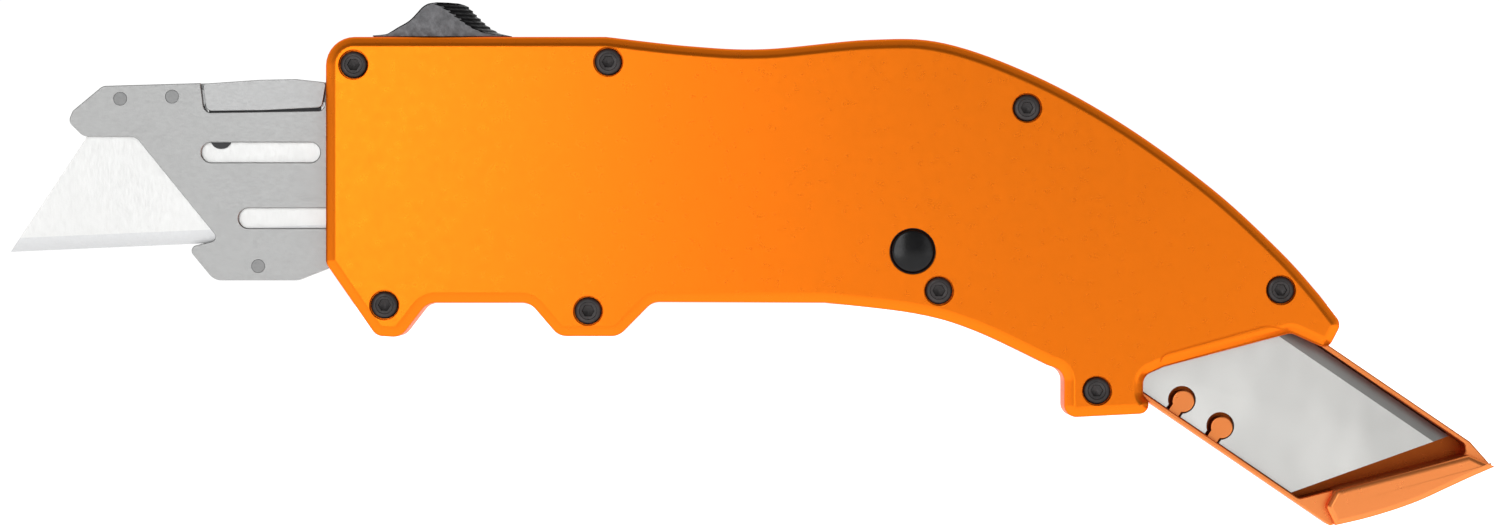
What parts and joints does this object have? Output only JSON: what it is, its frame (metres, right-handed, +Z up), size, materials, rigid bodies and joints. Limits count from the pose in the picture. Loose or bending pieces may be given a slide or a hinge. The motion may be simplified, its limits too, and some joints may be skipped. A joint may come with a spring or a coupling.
{
  "type": "utility knife",
  "caption": "Out-the-front utility knife: two-part metal handle, thumb slide, blade carrier with release lever, and a spare-blade tray in the tail.",
  "frame": {"origin": "on the back cover's flat outer face, below the middle of the spine", "axes": "+X along the handle from blade to tail, +Z up to the spine, +Y out of the back cover"},
  "size_m": [0.207, 0.013, 0.073],
  "materials": {
    "orange_metal": "satin anodised",
    "carrier_steel": "brushed",
    "blade_steel": "ground and polished",
    "black_metal": "black oxide",
    "spring_steel": "dark spring steel"
  },
  "bodies": {
    "handle": {"back_cover": "orange_metal", "button_retainer": "spring_steel", "button_spring": "spring_steel", "cover_screw_1": "black_metal", "cover_screw_2": "black_metal", "cover_screw_3": "black_metal", "cover_screw_4": "black_metal", "cover_screw_5": "black_metal", "cover_screw_6": "black_metal", "cover_screw_7": "black_metal", "cover_screw_8": "black_metal", "front_cover": "orange_metal", "front_lock_spring": "spring_steel", "rear_lock_spring": "spring_steel"},
    "thumb_slide": {"shuttle_pin": "spring_steel", "slide_shuttle": "spring_steel", "thumb_slide": "black_metal"},
    "carrier": {"blade_retainer_spring": "spring_steel", "carrier_back_plate": "carrier_steel", "carrier_front_plate": "carrier_steel", "carrier_rivet_1": "spring_steel", "carrier_rivet_2": "spring_steel", "carrier_rivet_3": "spring_steel", "carrier_rivet_4": "spring_steel", "carrier_rivet_5": "spring_steel", "hook_post_front": "spring_steel", "hook_post_rear": "spring_steel", "lever_pivot": "spring_steel", "lever_spring": "spring_steel", "main_spring": "spring_steel", "nose_spacer": "carrier_steel", "spring_hook_front": "spring_steel", "spring_hook_rear": "spring_steel", "tang_spacer": "carrier_steel", "utility_blade": "blade_steel"},
    "release_lever": {"blade_release_lever": "carrier_steel"},
    "tray": {"spare_blade_1": "blade_steel", "spare_blade_2": "blade_steel", "spare_blade_3": "blade_steel", "spare_blade_4": "blade_steel", "spare_blade_5": "blade_steel", "storage_tray": "orange_metal", "tray_latch_spring": "spring_steel"},
    "tray_button": {"tray_release_button": "black_metal"}
  },
  "joints": [
    {"name": "slide_travel", "type": "slide", "parent": "handle", "child": "thumb_slide", "axis": [1, 0, 0], "range_m": [0, 0.018], "deforming": ["front_lock_spring", "rear_lock_spring", "main_spring"]},
    {"name": "carrier_travel", "type": "slide", "parent": "handle", "child": "carrier", "axis": [1, 0, 0], "range_m": [0, 0.045]},
    {"name": "lever_rock", "type": "hinge", "parent": "carrier", "child": "release_lever", "pos_m": [-0.068, -0.0065, 0.01175], "axis": [0, 1, 0], "range_deg": [0, 3], "stiffness_Nm_per_rad": 0.05, "deforming": ["lever_spring"]},
    {"name": "tray_slide", "type": "slide", "parent": "handle", "child": "tray", "axis": [0.8261, 0, -0.5635], "range_m": [-0.0292, 0.02], "deforming": ["tray_latch_spring"]},
    {"name": "button_press", "type": "slide", "parent": "handle", "child": "tray_button", "axis": [0, 1, 0], "range_m": [0, 0.0008], "stiffness_N_per_m": 400, "deforming": ["button_spring"]}
  ],
  "couplings": [
    {"joint": "carrier_travel", "follows": "slide_travel", "ratio": 2.5}
  ]
}
